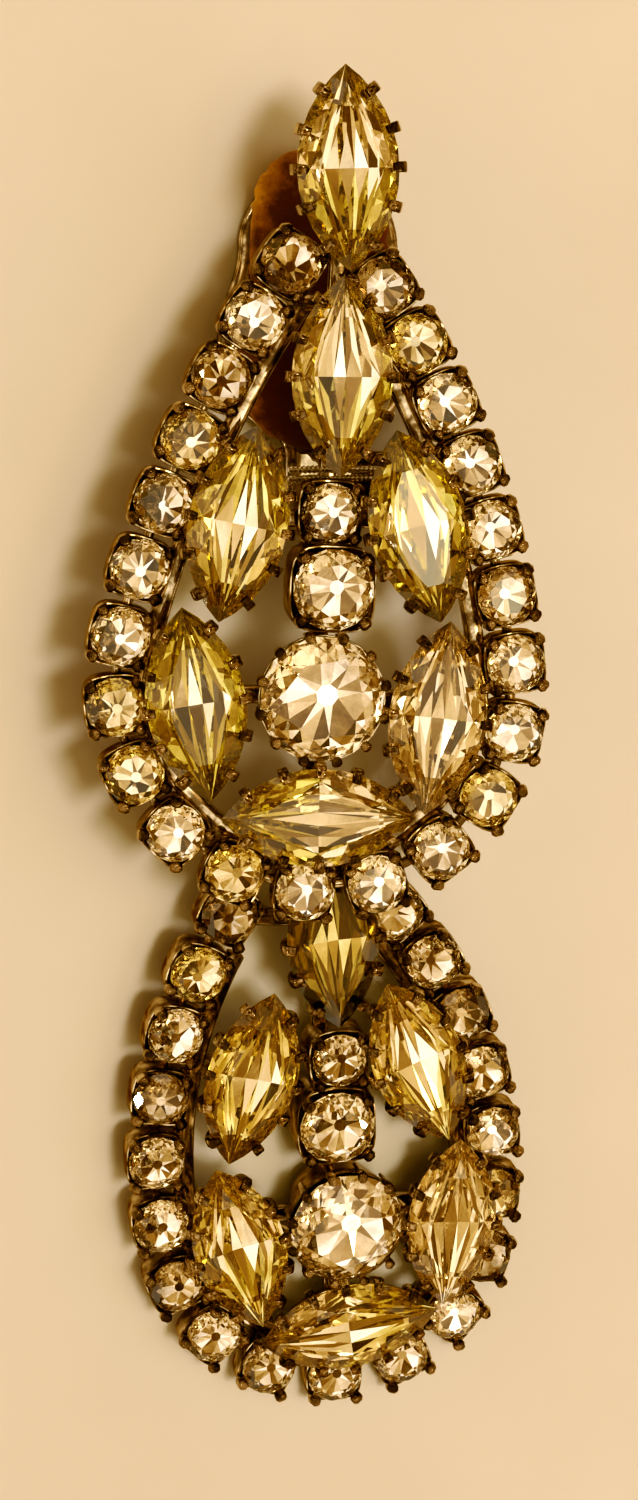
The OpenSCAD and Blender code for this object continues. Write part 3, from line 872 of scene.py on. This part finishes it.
# Metal whose colour, gloss and relief follow one noise: dull and dark in the low places
def metalMaterial(name):
    s = finishes[name]
    material, tree, shader, place = newMaterial(name)
    tone = addNoise(tree, place, s["scale"], 4)
    low, high = s["stops"]
    smooth, dull = s["rough"]
    setSockets(tree, shader, {
        "Base Color": addRamp(tree, tone, ((low, s["dark"]), (high, s["light"]))),
        "Roughness": addRange(tree, tone, dull, smooth),
        "Metallic": 1,
        "Specular Tint": (*s["edge"], 1),
    })
    addBump(tree, addNoise(tree, place, s["scale"] * 2), shader, s["bump"], 0.03)
    return material


glasses = {
    "navetteGlass": {"tint": (1, 0.97, 0.89), "cloud": (0.98, 0.92, 0.74), "rough": 0.045},
    "crystalGlass": {"tint": (1, 0.99, 0.98), "cloud": (0.98, 0.95, 0.92), "rough": 0.02},
}


# Glass of the stones' crowns, hardly coloured, with faint clouds in its tint and fine wear on its facets
def glassMaterial(name):
    s = glasses[name]
    material, tree, shader, place = newMaterial(name)
    addBump(tree, addNoise(tree, place, 2600, 5, 0.65), shader, 0.05, 0.02)
    setSockets(tree, shader, {
        "Base Color": addRamp(tree, addNoise(tree, place, 900), ((0.3, s["cloud"]), (0.7, s["tint"]))),
        "Transmission Weight": 1,
        "Roughness": s["rough"],
        "IOR": 1.56,
    })
    return material


padTones = {
    "middle": (1.4 * mm, 23 * mm),
    "reach": (5.75 * mm, 13.75 * mm),  # half width and half length of the painted shadow
    "stops": (
        (0.44, (0.05, 0.0014, 0.0008)), (0.66, (0.09, 0.012, 0.001)), (0.75, (0.37, 0.13, 0.007)),
        (0.93, (0.80, 0.42, 0.045)),
    ),
    "mottle": (0.8, 0.4),  # how much noise is added to the distance, and what is taken off it again
    "creases": ((0.47, (1, 1, 1)), (0.5, (0.55, 0.42, 0.35)), (0.53, (1, 1, 1))),
    "creased": 0.6,
}


# Old foam: dark in the middle with painted shadow, where the stones above shade it, and amber at its edge,
# with mottling and soft creases. The shadow lightens with distance from the middle, measured in half widths
# and half lengths, plus a noise.
def padMaterial():
    s = padTones
    material, tree, shader, place = newMaterial("padFoam")
    (x, y), (wide, long) = s["middle"], s["reach"]
    more, less = s["mottle"]
    sockets = {0: place, 1: (1 / wide, 1 / long, 0), 2: (-x / wide, -y / long, 0)}
    flat = addNode(tree, "VectorMath", sockets, operation="MULTIPLY_ADD")
    away = addNode(tree, "VectorMath", {0: flat.outputs["Vector"]}, operation="LENGTH")
    sockets = {0: addNoise(tree, place, 520, 6, 0.62), 1: more, 2: away.outputs["Value"]}
    mottle = addNode(tree, "Math", sockets, operation="MULTIPLY_ADD")
    # Painted shadow of the stones on the pad, deepest at the middle and fading outwards
    paintedShadow = addNode(tree, "Math", {0: mottle.outputs["Value"], 1: less}, operation="SUBTRACT")
    shadowTone = addRamp(tree, paintedShadow.outputs["Value"], s["stops"])
    lines = addRamp(tree, addNoise(tree, place, 700, warp=1.2), s["creases"])
    sockets = {"Factor": s["creased"], "A": shadowTone, "B": lines}
    both = addNode(tree, "Mix", sockets, data_type="RGBA", blend_type="MULTIPLY")
    setSockets(tree, shader, {
        "Base Color": both.outputs["Result"],
        "Roughness": 0.6,
        "Specular IOR Level": 0.2,
        "Subsurface Weight": 0.1,
        "Subsurface Scale": 0.5 * mm,
    })
    addBump(tree, addNoise(tree, place, 5200, 6, 0.7), shader, 0.5, 0.06)
    return material


table = {
    "half": 1500, "steps": 12, "drop": 0.02,
    "clouds": ((0.3, (0.78, 0.74, 0.68)), (0.7, (0.82, 0.78, 0.72))),
}


# Pale table top: even, with the slightest clouds and grain
def floorMaterial():
    material, tree, shader, place = newMaterial("tableTop")
    clouds = addRamp(tree, addNoise(tree, place, 60), table["clouds"])
    setSockets(tree, shader, {"Base Color": clouds, "Roughness": 0.6, "Specular IOR Level": 0.3})
    addBump(tree, addNoise(tree, place, 3000, 4), shader, 0.12, 0.03)
    return material


metals = {name: metalMaterial(name) for name in finishes}
navetteGlass, crystalGlass = (glassMaterial(name) for name in glasses)
print("materials made")


# Turns about x and then y, since the stones were set by hand: each a normal share of a few degrees, or
# given degrees
def handSet(chance, count, degrees, given=None):
    a, b = np.radians(chance.normal(0, degrees, (2, count)).clip(-1.8 * degrees, 1.8 * degrees))
    if given:
        a, b = np.radians(given)[:, None]
    return turnsAbout(b, 1) @ turnsAbout(a, 0)


# A stone turned to its heading and then tilted, about the middle of its girdle, and put in its place
def setStone(stone, tilt, girdleZ, heading, x, y):
    return moved(moved(stone, np.eye(3), (0, 0, -girdleZ)), tilt @ turnsAbout(heading)[0], (x, y, girdleZ))


ringMix = {"crystal": 0.53, "smoky": 0.31, "old": 0.16}  # shares of the foils round the rings
handDegrees = {"navettes": 1.2, "rounds": 1.5, "ring": 2.6}


# All the stones of one section, flat first and then turned and moved with it
def addStones(section):
    turn, at, label, askew = sectionTurn(section), section["at"], section["name"], section["askew"]
    chance = np.random.default_rng(section["seed"])

    def setIn(name, patch, glass, kinds, node):
        finish = [glass] + [metals[kind + "Foil"] for kind in kinds]
        addPiece(f"{label}_{name}", moved(patch, turn, at), finish, f"{label}_{node}", flat=True)

    for name, (x, y, angle, *kinds) in section["navettes"].items():
        tilt = handSet(chance, 1, handDegrees["navettes"], askew.get(name))[0]
        stone = setStone(navetteStone(chance), tilt, navetteShape["girdle"], math.radians(angle), x, y)
        setIn(f"stone_{name}", stone, navetteGlass, kinds, f"navette_{name}")
    for name, (x, y, diameter, girdleZ, _) in section["rounds"].items():
        tilt = handSet(chance, 1, handDegrees["rounds"], askew.get(name))[0]
        stone = setStone(roundStone(diameter, girdleZ), tilt, girdleZ, chance.uniform(0, 0.7), x, y)
        setIn(f"crystal_{name}", stone, crystalGlass, ["crystal"], f"round_{name}")
    x, y, heading = onRing(section, ringStops(section))
    girdleZ = ringStone["girdle"]
    places = beside(x, y, 0 * x + girdleZ)
    turns = turnsAbout(heading + chance.uniform(0, np.pi / 4, len(x)))
    turns = turns @ handSet(chance, len(x), handDegrees["ring"])
    points, faces = moved(roundStone(ringStone["diameter"], girdleZ), np.eye(3), (0, 0, -girdleZ))
    kind = chance.choice(len(ringMix), len(x), p=list(ringMix.values()))
    parts = []
    for k in range(len(ringMix)):  # each stone has one of the foils
        stone = points, [(rows, number and 1 + k) for rows, number in faces]
        parts.append(copies(stone, turns[kind == k], places[kind == k]))
    setIn("row_of_crystals", joined(parts), crystalGlass, ringMix, "ring_stones")


addStones(upperSection)
addStones(lowerSection)
print("stones set")

settingMetals = [metals[name] for name in ("gold", "tarnish", "steel", "tipShade")]
for section, more in ((upperSection, [clipBracket(), hingeBars()]), (lowerSection, [])):
    metal = joined([sectionMetal(section), wireEye(section["eyeZ"]), *more])
    label = section["name"]
    addPiece(f"{label}_setting", metal, settingMetals, f"{label}_frame")
addPiece("lever", clipLever(), (metals["tarnish"],), "clip_lever", body="clip")
cushion = worn(puffed(clipPad()))
pad = addPiece("comfort_pad", cushion, (padMaterial(),), "clip_pad", body="clip", sharp=80)
smooth = pad.modifiers.new("smooth", "SUBSURF")
smooth.levels = smooth.render_levels = 1
for name, finish in (("jump_ring", "gold"), ("hinge_pin", "steel")):
    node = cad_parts[name]
    node.data.materials.clear()
    node.data.materials.append(metals[finish])
print("metal and pad made")


# Round table top: a wide square grid whose points are drawn in by the larger of |x| and |y| over their
# distance from the middle, and dropped a hair so that nothing shares the plane z = 0
def makeFloor():
    s = table
    count = s["steps"] + 1
    edge = np.linspace(-s["half"], s["half"], count)
    x, y = np.meshgrid(edge, edge, indexing="ij")
    inward = np.maximum(np.abs(x), np.abs(y)) / np.maximum(np.hypot(x, y), 1)
    points = beside(x * inward, y * inward, 0 * x - s["drop"]).reshape(-1, 3)
    r, c = np.meshgrid(np.arange(s["steps"]), np.arange(s["steps"]), indexing="ij")
    low, high = r * count + c, (r + 1) * count + c
    quads = beside(low, high, high + 1, low + 1).reshape(-1, 4)
    floor = addMesh("table", points * mm, quads.tolist(), [floorMaterial()])


lampAway = 500  # from the middle to every lamp
lamps = {  # the direction to each, its width and height, watts and colour
    "ceiling": ((0.118, 0.11, 1), (50, 80), 1.11, (1, 0.86, 0.69)),
    "glow": ((0.14, 0.13, 1), (200, 240), 0.78, (1, 0.75, 0.29)),
    "daylight": ((0.6, 0.1, 1), (220, 220), 0.25, (0.95, 0.86, 0.80)),
}
sparks = {  # the direction to each, its diameter and watts
    "sparkOne": ((0.55, 0.5, 0.9), 16, 0.05),
    "sparkTwo": ((-0.5, 0.35, 0.9), 14, 0.04),
    "sparkThree": ((-0.2, 0.95, 0.7), 14, 0.04),
    "sparkFour": ((0.95, -0.35, 0.6), 16, 0.05),
    "sparkFive": ((-0.85, -0.6, 0.6), 14, 0.04),
}
sparkColour = (1, 0.94, 0.82)


def addLamp(name, direction, shape, size, watts, colour):
    away = Vector(direction).normalized()
    light = bpy.data.lights.new(name, "AREA")
    light.shape, light.energy, light.color = shape, watts, colour
    light.size, light.size_y = size[0] * mm, size[1] * mm
    lamp = addObject(name, light)
    lamp.location = away * (lampAway * mm)
    lamp.rotation_euler = away.to_track_quat("Z", "Y").to_euler()
    return lamp


# For the dull things a lamp almost overhead, a wide amber one round it, which warms the edges of the
# shadows, and a wide pale one from the right. Gloss and glass see only the room and five small sparks.
def makeLamps():
    for name, (direction, size, watts, colour) in lamps.items():
        lamp = addLamp(name, direction, "RECTANGLE", size, watts, colour)
        lamp.visible_glossy = lamp.visible_transmission = False
    for name, (direction, size, watts) in sparks.items():
        lamp = addLamp(name, direction, "DISK", (size, size), watts, sparkColour)
        lamp.visible_diffuse = False


room = {
    "fill": (0.15, 0.055, 0.001),  # what the dull things get
    "backdrop": (0.84, 0.66, 0.45),
    "patches": ((0.365, (0.010, 0.003, 0.0002)), (0.43, (0.08, 0.032, 0.004)), (0.48, (0.24, 0.125, 0.036)),
                (0.535, (0.54, 0.38, 0.19)), (0.59, (0.86, 0.71, 0.53)), (0.66, (1, 0.93, 0.84))),
    "scale": 4.2,
    "bright": (-0.2, -0.35, 0.4),  # the side the room is brighter on
    "raised": 0.09,
    "openings": (  # direction, where each begins to fade and ends, and colour
        ((0.14, -0.19, 0.97), 0.12, 0.22, (1.15, 1.06, 0.86)),
        ((0.30, -0.07, 0.951), 0.065, 0.085, (5.3, 4.4, 2.8)),
        ((0.342, -0.61, 0.715), 0.065, 0.085, (1.9, 1.5, 1.0)),
    ),
    "strength": 1.72,
}


# Soft room: even for the floor and the backdrop, and patched with light and dark for gloss and glass.
# The patches are a noise of the direction, raised towards one side, with a pale skylight near the top
# and two small bright windows.
def makeRoom():
    world = bpy.data.worlds.new("room")
    world.use_nodes = True
    tree = world.node_tree
    place = addNode(tree, "TexCoord", {}).outputs["Generated"]

    def maths(kind, first, second):
        return addNode(tree, "Math", {0: first, 1: second}, operation=kind).outputs[0]

    def vector(kind, second, output):
        return addNode(tree, "VectorMath", {0: place, 1: second}, operation=kind).outputs[output]

    def mixed(factor, first, second):
        sockets = {"Factor": factor, "A": first, "B": second}
        return addNode(tree, "Mix", sockets, data_type="RGBA").outputs["Result"]

    def unlit(colour):  # so that the strength brings it back to what it is
        return (*(c / room["strength"] for c in colour), 1)

    raised = maths("MULTIPLY", vector("DOT_PRODUCT", room["bright"], "Value"), room["raised"])
    tone = maths("ADD", addNoise(tree, place, room["scale"], 2, 0.55), raised)
    patches = addRamp(tree, tone, room["patches"])
    for direction, inner, outer, colour in room["openings"]:
        sockets = {"Value": vector("DISTANCE", direction, "Value"), "From Min": outer, "From Max": inner}
        patches = mixed(addNode(tree, "MapRange", sockets).outputs["Result"], patches, (*colour, 1))
    rays = addNode(tree, "LightPath", {}).outputs
    plain = mixed(rays["Is Camera Ray"], unlit(room["fill"]), unlit(room["backdrop"]))
    dull = maths("MAXIMUM", rays["Is Camera Ray"], rays["Is Diffuse Ray"])
    sockets = {"Color": mixed(dull, patches, plain), "Strength": room["strength"]}
    setSockets(tree, tree.nodes["Background"], sockets)
    bpy.context.scene.world = world


gradeBends = {  # points of the green curve, 1, and the blue one, 2
    1: ((0.03, 0.02), (0.1, 0.074), (0.3, 0.282), (0.6, 0.593)),
    2: ((0.04, 0.007), (0.1, 0.045), (0.2, 0.155), (0.37, 0.365), (0.6, 0.62)),
}


# Film-like grade: the blue of the shadows falls away, and a little of the green
def makeGrade():
    scene = bpy.context.scene
    scene.use_nodes = True
    tree = scene.node_tree
    tree.nodes.clear()
    layers = tree.nodes.new("CompositorNodeRLayers")
    curve = tree.nodes.new("CompositorNodeCurveRGB")
    for number, bends in gradeBends.items():
        for x, y in bends:
            curve.mapping.curves[number].points.new(x, y)
    curve.mapping.update()
    out = tree.nodes.new("CompositorNodeComposite")
    tree.links.new(layers.outputs["Image"], curve.inputs["Image"])
    tree.links.new(curve.outputs["Image"], out.inputs["Image"])


makeFloor()
makeLamps()
makeRoom()
makeGrade()
paths = bpy.context.scene.cycles  # room for the bounces inside the stones, and no stray caustics
paths.max_bounces, paths.glossy_bounces, paths.transmission_bounces = 32, 16, 24
paths.caustics_reflective = paths.caustics_refractive = False
view = bpy.context.scene.view_settings
view.view_transform, view.look = "Standard", "None"
print("table and lamps placed")
